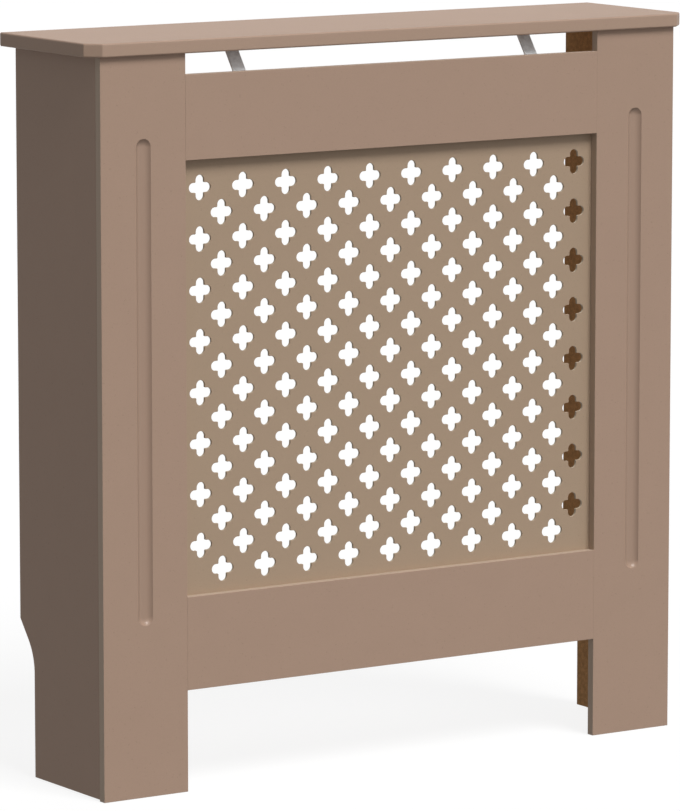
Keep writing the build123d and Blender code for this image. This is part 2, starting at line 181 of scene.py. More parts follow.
def noise(tree, place, scale, detail=3.0, roughness=0.55):
    inputs = {"Vector": place, "Scale": scale, "Detail": detail, "Roughness": roughness}
    return put(tree, "ShaderNodeTexNoise", inputs).outputs["Fac"]


def blend(tree, factor, first, second):
    """A colour between two, by a factor from 0 to 1."""
    mix = put(tree, "ShaderNodeMix", {0: factor, 6: first, 7: second}, data_type="RGBA")
    return mix.outputs[2]


def spread(tree, value, to_low, to_high, low=0.32, high=0.68):
    """Maps the middle of a noise's range to the range from to_low to to_high, clamped."""
    inputs = {"Value": value, "From Min": low, "From Max": high, "To Min": to_low, "To Max": to_high}
    return put(tree, "ShaderNodeMapRange", inputs).outputs[0]


def around(tree, value, middle, swing):
    """Maps a noise to a range about a middle."""
    return spread(tree, value, middle - swing, middle + swing)


def tones(tree, value, colour, darkest, palest):
    """A colour between two of its own shades, by a noise."""
    return blend(tree, spread(tree, value, 0.0, 1.0), shade(colour, darkest), shade(colour, palest))


def face_value(tree, name):
    """A value that mark_faces has stored on the faces."""
    return put(tree, "ShaderNodeAttribute", {}, attribute_name=name).outputs["Fac"]


def new_material(name):
    material = bpy.data.materials.new(name)
    tree = new_tree(material)
    return material, tree, put(tree, "ShaderNodeTexCoord", {}).outputs["Object"]


def drawn_out(tree, place, stretch):
    """The place with its axes scaled, which draws marks out along each axis scaled under 1."""
    return put(tree, "ShaderNodeMapping", {"Vector": place, "Scale": stretch}).outputs[0]


def close_material(tree, shader_inputs, height, bump_depth):
    """Ends a material's tree with a bump and a principled shader."""
    bump_inputs = {"Strength": bump_strength, "Distance": bump_depth, "Height": height}
    bump = put(tree, "ShaderNodeBump", bump_inputs)
    shader = put(tree, "ShaderNodeBsdfPrincipled", {**shader_inputs, "Normal": bump.outputs[0]})
    put(tree, "ShaderNodeOutputMaterial", {"Surface": shader.outputs[0]})


board_roughness_swing = 0.07
fleck_share = 0.5
fleck_shade = 0.7
# Edge tint: partly the cut edges' own colour, partly painted highlight on arrises and lit edges.
edge_tint_and_painted_highlight = (1.25, 1.4, 1.45)
# Painted shade: the flutes' colour is darkened where their hollow would be shaded.
flute_painted_shade = 0.93
flute_smoothing = 0.24


def make_fibreboard(name, colour, contrast, roughness, specular, mottle_scale=30.0, mottle_share=0.35):
    """Fibreboard: fibres, mottle and stray dark flecks; paler on edges, partly the cut edges' own colour and
    partly painted highlight; darkened in flutes by painted shade, and smoother there.
    """
    material, tree, place = new_material(name)
    fibres = noise(tree, place, scale=1500.0, detail=4.0, roughness=0.65)
    mottle = noise(tree, place, mottle_scale)
    flecks = noise(tree, place, scale=420.0, detail=2.0)
    # Paler edges: partly the cut edges' own colour, partly painted highlight.
    edge_colour_and_highlight = rgba([channel * share for channel, share in zip(colour, edge_tint_and_painted_highlight)])
    in_flute = face_value(tree, "flute")
    base = tones(tree, fibres, colour, 1 - contrast, 1 + contrast)
    base = blend(tree, spread(tree, mottle, 0.0, mottle_share), base, shade(colour, 1 - contrast))
    is_fleck = spread(tree, flecks, 0.0, fleck_share, low=0.66, high=0.74)
    base = blend(tree, is_fleck, base, shade(colour, fleck_shade))
    base = blend(tree, face_value(tree, "edge"), base, edge_colour_and_highlight)
    # Painted shade in the flutes' hollows.
    base = blend(tree, in_flute, base, shade(colour, flute_painted_shade))
    board_rough = around(tree, fibres, roughness, board_roughness_swing)
    smoothing = {0: in_flute, 1: -flute_smoothing, 2: board_rough}
    rough = put(tree, "ShaderNodeMath", smoothing, operation="MULTIPLY_ADD").outputs[0]
    shader_inputs = {"Base Color": base, "Roughness": rough, "Specular IOR Level": specular}
    close_material(tree, shader_inputs, fibres, bump_depth=0.06 * mm)
    return material


def make_metal(name, colour, roughness, stretch=(1.0, 0.1, 0.1), metallic=1.0):
    """Plated steel: cloudy patches and fine marks of the rolling."""
    material, tree, place = new_material(name)
    grain = noise(tree, drawn_out(tree, place, stretch), scale=2200.0)
    clouds = noise(tree, place, scale=160.0)
    base = tones(tree, clouds, colour, darkest=0.82, palest=1.1)
    rough = around(tree, grain, roughness, swing=0.1)
    shader_inputs = {"Base Color": base, "Metallic": metallic, "Roughness": rough}
    close_material(tree, shader_inputs, grain, bump_depth=0.02 * mm)
    return material


def make_plastic(name, colour, roughness):
    """Moulded plastic with the fine grain of its mould."""
    material, tree, place = new_material(name)
    grain = noise(tree, place, scale=2600.0)
    clouds = noise(tree, place, scale=90.0)
    base = tones(tree, clouds, colour, darkest=0.93, palest=1.03)
    rough = around(tree, grain, roughness, swing=0.08)
    close_material(tree, {"Base Color": base, "Roughness": rough}, grain, bump_depth=0.03 * mm)
    return material


beech_colour = (0.56, 0.37, 0.21)
beech_roughness = 0.62
beech_fleck_share = 0.7
beech_fleck_shade = 0.5


def make_beech(name, stretch):
    """Beech with its grain and its short dark flecks along the dowel."""
    material, tree, place = new_material(name)
    along = drawn_out(tree, place, stretch)
    grain = noise(tree, along, scale=900.0)
    flecks = noise(tree, along, scale=2600.0)
    base = tones(tree, grain, beech_colour, darkest=0.8, palest=1.1)
    is_fleck = spread(tree, flecks, 0.0, beech_fleck_share, low=0.6, high=0.7)
    base = blend(tree, is_fleck, base, shade(beech_colour, beech_fleck_shade))
    close_material(tree, {"Base Color": base, "Roughness": beech_roughness}, grain, bump_depth=0.05 * mm)
    return material


outer_board = make_fibreboard(
    "fibreboard", (0.352, 0.239, 0.176), contrast=0.05, roughness=0.58, specular=0.33
)
lattice_board = make_fibreboard(
    "fibreboard_sheet", (0.348, 0.252, 0.174), contrast=0.05, roughness=0.58, specular=0.33
)
# The inner faces' warmer, more orange colour is painted warm bounce light from inside the cabinet.
inner_board_painted_bounce = make_fibreboard(
    "fibreboard_inside_painted_bounce",
    (0.59, 0.328, 0.145),
    contrast=0.32,
    roughness=0.8,
    specular=0.1,
    mottle_scale=220.0,
    mottle_share=0.9,
)
# The strap's near-white colour is partly painted reflection: it stands in for the white surroundings
# mirrored by the shaded strap.
strap_steel = make_metal("strap_steel", (0.93, 0.96, 0.98), roughness=0.5, metallic=0.0)
bracket_steel = make_metal("bracket_steel", (0.60, 0.60, 0.59), roughness=0.38, stretch=(0.1, 1.0, 0.1))
screw_steel = make_metal("screw_steel", (0.62, 0.62, 0.60), roughness=0.3)
cam_zinc = make_metal("cam_zinc", (0.45, 0.45, 0.46), roughness=0.5, stretch=(1.0, 1.0, 1.0))
block_plastic = make_plastic("block_plastic", (0.74, 0.73, 0.70), roughness=0.42)
glide_plastic = make_plastic("glide_plastic", (0.05, 0.045, 0.04), roughness=0.5)
beech = {
    "shelf_dowels": make_beech("beech_upright", stretch=(1.0, 1.0, 0.08)),
    "front_dowels": make_beech("beech_front_to_back", stretch=(1.0, 0.08, 1.0)),
    "rail_dowels": make_beech("beech_side_to_side", stretch=(0.08, 1.0, 1.0)),
}

# ---- Outlines ------------------------------------------------------------------------------------


def arc(centre, radius, start, stop, count):
    """Points on an arc between two angles in degrees, both ends included."""
    angles = [math.radians(start + (stop - start) * i / count) for i in range(count + 1)]
    return [(centre[0] + radius * math.cos(a), centre[1] + radius * math.sin(a)) for a in angles]


def rounded(points, radii, count=6):
    """The corners of an outline with each of them rounded by its own radius, or kept at radius 0."""
    made = []
    for i, (point, radius) in enumerate(zip(points, radii)):
        if radius == 0:
            made.append(point)
            continue
        corner = Vector(point)
        before = (Vector(points[i - 1]) - corner).normalized()
        after = (Vector(points[(i + 1) % len(points)]) - corner).normalized()
        half = before.angle(after) / 2
        centre = corner + (before + after).normalized() * radius / math.sin(half)
        first = (corner + before * radius / math.tan(half) - centre).normalized()
        last = (corner + after * radius / math.tan(half) - centre).normalized()
        for step in range(count + 1):
            made.append(tuple(centre + first.slerp(last, step / count) * radius))
    return made


def four_quarters(quarter):
    """The points of one quarter of an outline, repeated at each quarter turn about the origin."""
    turns = [Matrix.Rotation(number * math.pi / 2, 2) for number in range(4)]
    return [turn @ Vector(point) for turn in turns for point in quarter]


def bent_strip(path, radius, thickness):
    """Outline of a strip of sheet metal to the right of a path, bent with the given outer radius."""
    inner = []
    for i, point in enumerate(path):
        before = Vector(point) - Vector(path[i - 1]) if i > 0 else Vector(path[1]) - Vector(point)
        after = Vector(path[i + 1]) - Vector(point) if i + 1 < len(path) else before
        normals = [Vector((d.y, -d.x)).normalized() for d in (before, after)]
        shift = (normals[0] + normals[1]) * thickness / (1 + normals[0].dot(normals[1]))
        inner.append(tuple(Vector(point) + shift))
    bends = len(path) - 2
    outer_line = rounded(path, [0, *[radius] * bends, 0])
    inner_line = rounded(inner, [0, *[radius - thickness] * bends, 0])
    return outer_line + inner_line[::-1]


# ---- Meshes --------------------------------------------------------------------------------------

weld_distance = 0.001 * mm
overcut = 1.0 * mm
round_profile = 0.5
favour_large_faces = 100
thread_tip_share = 0.08
thread_ridge_half = 0.25


def to_space(axis, u, v, w):
    """A point from two coordinates across an axis and one along it."""
    return {"X": (w, u, v), "Y": (u, w, v), "Z": (u, v, w)}[axis]


def prism(bm, outline, axis, low, high):
    """Adds a closed prism and returns its two end faces."""
    rings = [[bm.verts.new(to_space(axis, u, v, w)) for u, v in outline] for w in (low, high)]
    ends = [bm.faces.new(ring) for ring in rings]
    for i in range(len(outline)):
        bm.faces.new((rings[0][i - 1], rings[0][i], rings[1][i], rings[1][i - 1]))
    bmesh.ops.recalc_face_normals(bm, faces=bm.faces)
    return ends


def box_prism(bm, low, high):
    outline = [(low[0], low[1]), (high[0], low[1]), (high[0], high[1]), (low[0], high[1])]
    prism(bm, outline, "Z", low[2], high[2])


def join_rings(bm, rings):
    """Joins rings of vertices into an open tube."""
    for ring, following in zip(rings, rings[1:]):
        for i in range(len(ring)):
            bm.faces.new((ring[i - 1], ring[i], following[i], following[i - 1]))


def skin(bm, rings):
    """Joins rings of vertices into a closed tube, with a face over each end."""
    join_rings(bm, rings)
    bm.faces.new(rings[0])
    bm.faces.new(rings[-1])


def pose(place, direction):
    """A matrix that puts a mesh made along +Z at a place, pointing in a direction."""
    return Matrix.Translation(place) @ Vector(direction).to_track_quat("Z", "Y").to_matrix().to_4x4()


def turned(bm, profile, matrix=Matrix(), segments=40):
    """Adds a solid turned about Z from (radius, height) pairs, moved by the matrix."""
    rings = []
    for radius, height in profile:
        circle = arc((0, 0), radius, 0, 360, segments)[1:]
        rings.append([bm.verts.new(matrix @ Vector((x, y, height))) for x, y in circle])
    skin(bm, rings)


def thread(bm, core, crest, low, high, pitch, segments=14, steps=5):
    """Adds a threaded shank along Z that runs out to a blunt point at the high end."""
    rings = []
    count = round((high - low) / pitch * steps)
    for i in range(count + 1):
        height = low + (high - low) * i / count
        taper = min(1.0, (high - height) / (2 * crest) + thread_tip_share)
        ring = []
        for j in range(segments):
            phase = (height / pitch - j / segments) % 1.0
            ridge = max(0.0, 1 - abs(phase - 0.5) / thread_ridge_half)
            radius = (core + (crest - core) * ridge) * taper
            angle = 2 * math.pi * j / segments
            ring.append(bm.verts.new((radius * math.cos(angle), radius * math.sin(angle), height)))
        rings.append(ring)
    skin(bm, rings)


def bevel(bm, edges, radius, segments=3):
    """Rounds edges with arcs of a circle."""
    bmesh.ops.bevel(
        bm,
        geom=list(edges),
        offset=radius,
        segments=segments,
        profile=round_profile,
        affect="EDGES",
        clamp_overlap=True,
    )


def sharp_edges(bm, angle=60.0):
    return [edge for edge in bm.edges if edge.is_manifold and edge.calc_face_angle() > math.radians(angle)]


def to_mesh(bm, name, smooth_angle=40.0):
    """Turns bm into a mesh, smooth but for its sharp edges."""
    bmesh.ops.recalc_face_normals(bm, faces=bm.faces)
    mesh = bpy.data.meshes.new(name)
    bm.to_mesh(mesh)
    bm.free()
    mesh.shade_smooth()
    mesh.set_sharp_from_angle(angle=math.radians(smooth_angle))
    return mesh


def to_object(mesh, *materials):
    for material in materials:
        mesh.materials.append(material)
    made = bpy.data.objects.new(mesh.name, mesh)
    bpy.context.scene.collection.objects.link(made)
    return made


def apply_modifiers(target):
    bpy.context.view_layer.update()
    graph = bpy.context.evaluated_depsgraph_get()
    old = target.data
    mesh = bpy.data.meshes.new_from_object(target.evaluated_get(graph))
    target.modifiers.clear()
    target.data = mesh
    bpy.data.meshes.remove(old)


def cut_away(target, cutter_bm):
    """Subtracts a closed mesh from the target."""
    cutter = to_object(to_mesh(cutter_bm, "cutter"))
    modifier = target.modifiers.new("cut", "BOOLEAN")
    modifier.operation = "DIFFERENCE"
    modifier.solver = "EXACT"
    modifier.object = cutter
    apply_modifiers(target)
    bpy.data.objects.remove(cutter)


def weigh_normals(target):
    """Keeps flat faces flat beside their rounded arrises."""
    modifier = target.modifiers.new("normals", "WEIGHTED_NORMAL")
    modifier.keep_sharp = True
    modifier.weight = favour_large_faces
    apply_modifiers(target)


def stand_for(piece, node):
    """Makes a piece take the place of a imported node."""
    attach(piece, "root")
    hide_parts(node)


def copies(name, template, matrices):
    """One mesh with a copy of the template at each matrix."""
    bm = bmesh.new()
    for matrix in matrices:
        start = len(bm.verts)
        bm.from_mesh(template)
        bm.verts.ensure_lookup_table()
        bmesh.ops.transform(bm, matrix=matrix, verts=bm.verts[start:])
    return to_mesh(bm, name)


def solids(node):
    """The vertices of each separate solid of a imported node."""
    bm = bmesh.new()
    bm.from_mesh(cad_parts[node].data)
    bmesh.ops.remove_doubles(bm, verts=bm.verts, dist=weld_distance)
    left = set(bm.verts)
    found = []
    while left:
        waiting = [left.pop()]
        group = []
        while waiting:
            vertex = waiting.pop()
            group.append(vertex.co.copy())
            for edge in vertex.link_edges:
                other = edge.other_vert(vertex)
                if other in left:
                    left.remove(other)
                    waiting.append(other)
        found.append(group)
    bm.free()
    return found


def corners(points):
    """Lowest and highest corner of a solid's vertices."""
    return [Vector([pick(point[axis] for point in points) for axis in range(3)]) for pick in (min, max)]


def foot(low, high):
    """A matrix that puts a mesh made along +Z on the middle of a box's underside."""
    return Matrix.Translation(((low.x + high.x) / 2, (low.y + high.y) / 2, low.z))


def rods(node):
    """Thick end, direction and length of each long solid of a node."""
    found = []
    for points in solids(node):
        low, high = corners(points)
        size = high - low
        axis = max(range(3), key=lambda i: size[i])
        middle = (low + high) / 2
        reach = {end: 0.0 for end in (-1, 1)}
        for point in points:
            end = 1 if point[axis] > middle[axis] else -1
            offset = point - middle
            offset[axis] = 0.0
            reach[end] = max(reach[end], offset.length)
        thick = max(reach, key=reach.get)
        direction = Vector([-thick if i == axis else 0.0 for i in range(3)])
        found.append((middle - direction * size[axis] / 2, direction, size[axis]))
    return found


# ---- Boards --------------------------------------------------------------------------------------

shelf_corner_cut = 15.0 * mm
shelf_corner_radius = 3.0 * mm
shelf_edge_radius = 2.0 * mm
# Share of the paler edge colour on the shelf's rims, which is partly painted highlight.
shelf_edge_tint_and_highlight_share = 0.1
side_arris = 0.8 * mm
frame_arris = 0.4 * mm
joint_arris = 0.15 * mm
skirting_depth = 30.0 * mm
skirting_straight = 117.0 * mm
skirting_curve_radius = 57.0 * mm
skirting_slant = 39.0
near = 0.05 * mm
# Material slot for inner faces, whose warmer colour is painted bounce light.
inner_painted_bounce_slot = 1


def nowhere(face):
    """A test that picks no face."""
    return False


def lies_at(axis, place):
    """A test for the faces whose centres lie at a place along an axis."""
    return lambda face: abs(face.center["XYZ".index(axis)] - place) < near


def mark_faces(piece, thickness_axis, is_inside=nowhere, is_fluted=nowhere, edge_share=1.0):
    """Marks edges (paler: partly their own colour, partly painted highlight) and flutes (painted shade) for
    the material, and gives inner faces the warmer board, whose warmth is painted bounce light.
    """
    axis = "XYZ".index(thickness_axis)
    edge = piece.data.attributes.new("edge", "FLOAT", "FACE")
    flute = piece.data.attributes.new("flute", "FLOAT", "FACE")
    for face in piece.data.polygons:
        fluted = is_fluted(face)
        edge.data[face.index].value = 0.0 if fluted else edge_share * (1 - abs(face.normal[axis]))
        flute.data[face.index].value = 1.0 if fluted else 0.0
        if is_inside(face):
            face.material_index = inner_painted_bounce_slot


def finish_board(bm, node, thickness_axis, pockets=None, smooth_angle=40.0, **marks):
    """Turns bm into the piece for a board, with pockets cut from it. marks go to mark_faces."""
    piece = to_object(to_mesh(bm, f"{node}_board", smooth_angle), outer_board, inner_board_painted_bounce)
    if pockets is not None:
        cut_away(piece, pockets)
    weigh_normals(piece)
    mark_faces(piece, thickness_axis, **marks)
    stand_for(piece, node)


def make_top_shelf():
    """The shelf, with its front corners cut off and its rims rounded, apart from those at the back."""
    low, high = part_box("top_shelf")
    points = [
        (low.x, high.y),
        (low.x, low.y + shelf_corner_cut),
        (low.x + shelf_corner_cut, low.y),
        (high.x - shelf_corner_cut, low.y),
        (high.x, low.y + shelf_corner_cut),
        (high.x, high.y),
    ]
    bm = bmesh.new()
    ends = prism(bm, rounded(points, [0, *[shelf_corner_radius] * 4, 0]), "Z", low.z, high.z)
    rims = [edge for end in ends for edge in end.edges if min(v.co.y for v in edge.verts) < high.y - near]
    bevel(bm, rims, shelf_edge_radius, segments=6)
    back_corners = [edge for edge in sharp_edges(bm) if all(v.co.y > high.y - near for v in edge.verts)]
    bevel(bm, back_corners, joint_arris, segments=2)
    finish_board(bm, "top_shelf", "Z", edge_share=shelf_edge_tint_and_highlight_share)


cam_radius = 7.5 * mm
cam_thickness = 12.5 * mm
cam_fit = 0.1 * mm


def side_outline(low, high):
    """Outline of a side panel with its cut-out for the skirting board."""
    skirting_y = high.y - skirting_depth
    centre = (skirting_y + skirting_curve_radius, skirting_straight)
    curve = arc(centre, skirting_curve_radius, 180, 180 - skirting_slant, count=24)
    rise = (high.y - curve[-1][0]) / math.tan(math.radians(skirting_slant))
    return [
        (low.y, low.z),
        (skirting_y, low.z),
        *curve,
        (high.y, curve[-1][1] + rise),
        (high.y, high.z),
        (low.y, high.z),
    ]


def cam_pockets(inner_x, side):
    """Cutters for the bores that hold the cams of one side panel."""
    pockets = bmesh.new()
    for points in solids("shelf_cam_locks"):
        low, high = corners(points)
        if (low.x > 0) == (side > 0):
            place = Vector((inner_x - side * overcut, *((low + high) / 2).yz))
            bore = [(cam_radius + cam_fit, 0), (cam_radius + cam_fit, cam_thickness + cam_fit + overcut)]
            turned(pockets, bore, pose(place, (side, 0, 0)))
    return pockets


def make_side_panel(name, side):
    """A side panel with the bores for its cams. Its edges at the front, top and foot stay sharp."""
    node = f"{name}_side_panel"
    low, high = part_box(node)
    bm = bmesh.new()
    ends = prism(bm, side_outline(low, high), "X", low.x, high.x)
    rims = [edge for end in ends for edge in end.edges]
    open_rims = [
        edge
        for edge in rims
        if max(v.co.y for v in edge.verts) > low.y + near
        and min(v.co.z for v in edge.verts) < high.z - near
        and max(v.co.z for v in edge.verts) > low.z + near
    ]
    bevel(bm, open_rims, side_arris)
    inner_x = low.x if side > 0 else high.x
    finish_board(bm, node, "X", cam_pockets(inner_x, side), is_inside=lies_at("X", inner_x))


flute_half_width = 9.2 * mm
flute_depth = 4.0 * mm
flute_wall_power = 3.0
flute_overrun = 26.0 * mm
flute_lip = 0.35 * mm
flute_wall_steps = 16
flute_end_steps = 20


def flute_rings():
    """Offsets into the flute from its outline, with their depths, from the lip inwards."""
    made = [(-flute_lip, 0.0)]
    for i in range(flute_wall_steps):
        share = 1 - i / flute_wall_steps
        made.append((flute_half_width * (1 - share), flute_depth * (1 - share**flute_wall_power)))
    return made


def add_flute(bm, middle, front, top, bottom):
    """Adds a flute between the centres of its round ends, and returns its outermost ring."""
    rings = []
    for offset, depth in flute_rings():
        radius = flute_half_width - offset
        upper = arc((middle, top), radius, 0, 180, flute_end_steps)
        lower = arc((middle, bottom), radius, 180, 360, flute_end_steps)
        rings.append([bm.verts.new((x, front + depth, z)) for x, z in upper + lower])
    join_rings(bm, rings)
    spine = [bm.verts.new((middle, front + flute_depth, z)) for z in (top, bottom)]
    last = rings[-1]
    lower_start = flute_end_steps + 1
    for i in range(flute_end_steps):
        bm.faces.new((last[i], last[i + 1], spine[0]))
        bm.faces.new((last[lower_start + i], last[lower_start + i + 1], spine[1]))
    bm.faces.new((last[lower_start - 1], last[lower_start], spine[1], spine[0]))
    bm.faces.new((last[-1], last[0], spine[0], spine[1]))
    return rings[0]


def make_stile(name):
    """An upright whose front is two faces round its flute."""
    node = f"{name}_stile"
    low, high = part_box(node)
    middle = (low.x + high.x) / 2
    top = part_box("upper_rail")[0].z + flute_overrun - flute_half_width
    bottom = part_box("lower_rail")[1].z - flute_overrun + flute_half_width
    bm = bmesh.new()
    lip = add_flute(bm, middle, low.y, top, bottom)
    outline = [
        (low.x, low.z), (middle, low.z), (high.x, low.z), (high.x, high.z), (middle, high.z), (low.x, high.z)
    ]
    front, back = [[bm.verts.new((x, y, z)) for x, z in outline] for y in (low.y, high.y)]
    upper_middle = flute_end_steps // 2
    lower_middle = flute_end_steps + 1 + upper_middle
    right_half = lip[lower_middle:] + lip[: upper_middle + 1]
    left_half = lip[upper_middle : lower_middle + 1]
    bm.faces.new((*front[1:5], *right_half[::-1]))
    bm.faces.new((front[4], front[5], front[0], front[1], *left_half[::-1]))
    bm.faces.new(back[::-1])
    for i in range(len(outline)):
        bm.faces.new((front[i - 1], front[i], back[i], back[i - 1]))
    bmesh.ops.recalc_face_normals(bm, faces=bm.faces)
    bevel(bm, sharp_edges(bm, angle=80.0), frame_arris)

    def is_fluted(face):
        is_sunk = near < face.center.y - low.y < flute_depth + near
        return is_sunk and abs(face.center.x - middle) < flute_half_width

    is_back = lies_at("Y", high.y)
    finish_board(bm, node, "Y", smooth_angle=50.0, is_inside=is_back, is_fluted=is_fluted)


def make_rail(node):
    """A rail, with finer arrises at its butt joints than along it."""
    low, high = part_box(node)
    bm = bmesh.new()
    prism(bm, [(low.x, low.z), (high.x, low.z), (high.x, high.z), (low.x, high.z)], "Y", low.y, high.y)
    long_edges = [edge for edge in sharp_edges(bm) if abs(edge.verts[0].co.x - edge.verts[1].co.x) > near]
    bevel(bm, long_edges, frame_arris)
    bm.normal_update()
    bevel(bm, sharp_edges(bm), joint_arris, segments=2)
    finish_board(bm, node, "Y", is_inside=lies_at("Y", high.y))


lattice_columns = 19
lattice_column_step = 27.3 * mm
lattice_rows = 16
lattice_row_step = 27.7 * mm
lattice_drop = 2.9 * mm
cross_length = 27.6 * mm
cross_arm_radius = 5.35 * mm
cross_notch_radius = 1.0 * mm
lattice_edge = 0.25 * mm
lattice_back_normal = 0.9


def cross_outline(x, z):
    """One opening: four round-ended arms with softened inner corners."""
    tip = cross_length / 2 - cross_arm_radius
    notch = cross_arm_radius + cross_notch_radius
    arm = arc((tip, 0), cross_arm_radius, -90, 90, count=10)
    inner_corner = arc((notch, notch), cross_notch_radius, 270, 180, count=3)
    return [(x + point.x, z + point.y) for point in four_quarters(arm + inner_corner)]


def lattice_outlines(low, high):
    """The sheet's own outline and its openings, in staggered columns."""
    outlines = [[(low.x, low.z), (high.x, low.z), (high.x, high.z), (low.x, high.z)]]
    middle_z = ((low + high) / 2).z
    for column in range(lattice_columns):
        for row in range(column % 2, lattice_rows, 2):
            x = (column - (lattice_columns - 1) / 2) * lattice_column_step
            z = middle_z - lattice_drop + ((lattice_rows - 1) / 2 - row) * lattice_row_step
            outlines.append(cross_outline(x, z))
    return outlines


def lattice_curve(low, high):
    """A flat curve that fills the sheet between its openings, as thick as the sheet, with broken rims."""
    curve = bpy.data.curves.new("lattice", "CURVE")
    curve.dimensions = "2D"
    curve.fill_mode = "BOTH"
    curve.extrude = (high.y - low.y) / 2 - lattice_edge
    curve.bevel_depth = lattice_edge
    curve.bevel_resolution = 1
    curve.offset = -lattice_edge
    for outline in lattice_outlines(low, high):
        spline = curve.splines.new("POLY")
        spline.points.add(len(outline) - 1)
        spline.use_cyclic_u = True
        for point, (x, z) in zip(spline.points, outline):
            point.co = (x, z, 0, 1)
    return curve


def make_lattice():
    """The pierced sheet, turned upright from its flat curve."""
    low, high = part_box("lattice_panel")
    source = bpy.data.objects.new("lattice_curve", lattice_curve(low, high))
    bpy.context.scene.collection.objects.link(source)
    bpy.context.view_layer.update()
    mesh = bpy.data.meshes.new_from_object(source.evaluated_get(bpy.context.evaluated_depsgraph_get()))
    bpy.data.objects.remove(source)
    bm = bmesh.new()
    bm.from_mesh(mesh)
    to_middle = Matrix.Translation((0, ((low + high) / 2).y, 0))
    upright = Matrix.Rotation(math.pi / 2, 4, "X")
    bmesh.ops.transform(bm, matrix=to_middle @ upright, verts=bm.verts)
    bmesh.ops.remove_doubles(bm, verts=bm.verts, dist=weld_distance)
    piece = to_object(to_mesh(bm, "lattice_sheet", smooth_angle=50.0), lattice_board, inner_board_painted_bounce)
    weigh_normals(piece)
    mark_faces(piece, "Y", is_inside=lambda face: face.normal.y > lattice_back_normal)
    stand_for(piece, "lattice_panel")


make_top_shelf()
for side_name, side in sides.items():
    make_side_panel(side_name, side)
    make_stile(side_name)
make_rail("upper_rail")
make_rail("lower_rail")
make_lattice()

# ---- Bent steel ----------------------------------------------------------------------------------

steel_thickness = 2.0 * mm
steel_arris = 0.3 * mm
strap_bend_radius = 5.0 * mm
strap_bend_below_rail_top = 9.5 * mm
strap_slant = 35.8
bracket_bend_radius = 4.0 * mm
screw_hole_radius = 2.15 * mm
wall_hole_radius = 2.5 * mm
wall_hole_from_end = 9.0 * mm
hole_flare = 0.3 * mm
screw_reach = 16.0 * mm


def punch(bm, place, direction, radius):
    """Adds a cutter for a hole through sheet steel with slightly flared rims."""
    profile = [
        (radius + hole_flare + overcut, -overcut),
        (radius, hole_flare),
        (radius, steel_thickness - hole_flare),
        (radius + hole_flare + overcut, steel_thickness + overcut),
    ]
    turned(bm, profile, pose(place, direction), segments=28)


def finish_steel(bm, node, holes, material):
    bevel(bm, sharp_edges(bm, angle=50.0), steel_arris, segments=2)
    piece = to_object(to_mesh(bm, f"{node}_steel"), material)
    cut_away(piece, holes)
    stand_for(piece, node)


def screw_places(node, low, high):
    """Middles of the screws of a node that lie in a box or within a screw's reach of it."""
    middles = [sum(corners(points), Vector()) / 2 for points in solids(node)]
    return [m for m in middles if all(low[i] - screw_reach < m[i] < high[i] + screw_reach for i in range(3))]


def make_strap(name):
    """A flat strap bent twice, from the back of the rail to the underside of the shelf."""
    node = f"{name}_shelf_strap"
    low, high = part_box(node)
    bend_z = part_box("upper_rail")[1].z - strap_bend_below_rail_top
    top_y = low.y + (high.z - bend_z) * math.tan(math.radians(strap_slant))
    path = [(low.y, low.z), (low.y, bend_z), (top_y, high.z), (high.y, high.z)]
    bm = bmesh.new()
    prism(bm, bent_strip(path, strap_bend_radius, steel_thickness), "X", low.x, high.x)
    holes = bmesh.new()
    for place in screw_places("strap_rail_screws", low, high):
        punch(holes, (place.x, low.y, place.z), (0, 1, 0), screw_hole_radius)
    for place in screw_places("strap_shelf_screws", low, high):
        punch(holes, (place.x, place.y, high.z - steel_thickness), (0, 0, 1), screw_hole_radius)
    finish_steel(bm, node, holes, strap_steel)


def make_bracket(name, side):
    """A steel angle between the side panel and the wall."""
    node = f"{name}_wall_bracket"
    low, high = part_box(node)
    face_x, free_x = (high.x, low.x) if side > 0 else (low.x, high.x)
    path = [(face_x, low.y), (face_x, high.y), (free_x, high.y)][::-side]
    bm = bmesh.new()
    prism(bm, bent_strip(path, bracket_bend_radius, steel_thickness), "Z", low.z, high.z)
    holes = bmesh.new()
    for place in screw_places("wall_bracket_screws", low, high):
        punch(holes, (face_x - side * steel_thickness, place.y, place.z), (side, 0, 0), screw_hole_radius)
    hole_x = free_x + side * wall_hole_from_end
    punch(holes, (hole_x, high.y - steel_thickness, (low.z + high.z) / 2), (0, 1, 0), wall_hole_radius)
    finish_steel(bm, node, holes, bracket_steel)


for side_name, side in sides.items():
    make_strap(side_name)
    make_bracket(side_name, side)

# ---- Fittings and fasteners ----------------------------------------------------------------------
# Shares of a screw's head are of its radius or height, and a thread's core is a share of its crest.

screw = {"shank": 1.75 * mm, "head": 3.5 * mm, "head_height": 2.4 * mm, "pitch": 1.5 * mm}
small_screw = {"shank": 1.5 * mm, "head": 2.8 * mm, "head_height": 2.0 * mm, "pitch": 1.25 * mm}
screw_nodes = [
    "strap_rail_screws",
    "strap_shelf_screws",
    "block_panel_screws",
    "block_stile_screws",
    "wall_bracket_screws",
]
core_share = 0.68
dome_angles = range(10, 71, 12)
rim_height_share = 0.18
seat_share = 0.97
neck_share = 0.8
neck_height_share = 0.2
recess_length_share = 1.1
recess_width_share = 0.3
recess_mouth_share = 1.1
recess_depth_share = 0.6
recess_floor_share = 0.45


def crossed_recess(bm, length, width, low, high):
    """Adds a cross-shaped cutter, tapered from its mouth at low to its floor at high."""
    rings = []
    for height, share in ((low, 1.0), (high, recess_floor_share)):
        reach, half = length / 2 * share, width / 2
        line = four_quarters([(reach, -half), (reach, half), (half, half)])
        rings.append([bm.verts.new((point.x, point.y, height)) for point in line])
    skin(bm, rings)


